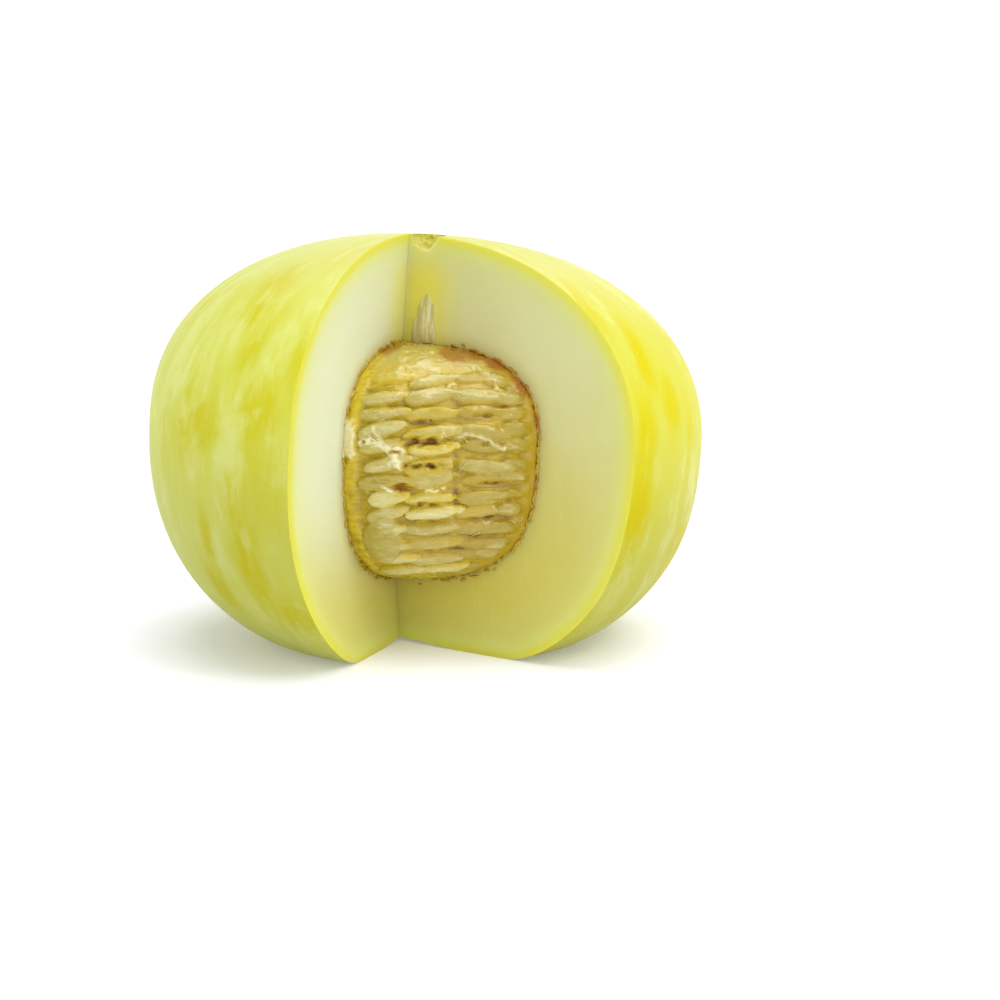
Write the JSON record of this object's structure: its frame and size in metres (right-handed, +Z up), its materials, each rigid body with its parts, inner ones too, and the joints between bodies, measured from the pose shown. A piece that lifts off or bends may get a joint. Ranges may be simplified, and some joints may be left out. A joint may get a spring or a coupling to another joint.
{
  "type": "canary melon",
  "caption": "Round yellow melon with one wedge cut out, standing on its blossom end, its barrel of seeds and pulp showing in the notch.",
  "frame": {"origin": "On the surface that the melon stands on, under the middle of its outline, with the base at Z = 0", "axes": "+Z is up, from the blossom end to the stem end. -Y faces the viewer of the picture, into whose side the notch is cut. +X is to that viewer's right."},
  "size_m": [0.15, 0.1442, 0.1103],
  "materials": {
    "skin_and_flesh": null,
    "pulp_and_seeds": null
  },
  "bodies": {
    "root": {"melon": "skin_and_flesh", "seed_mass": "pulp_and_seeds"}
  },
  "joints": []
}
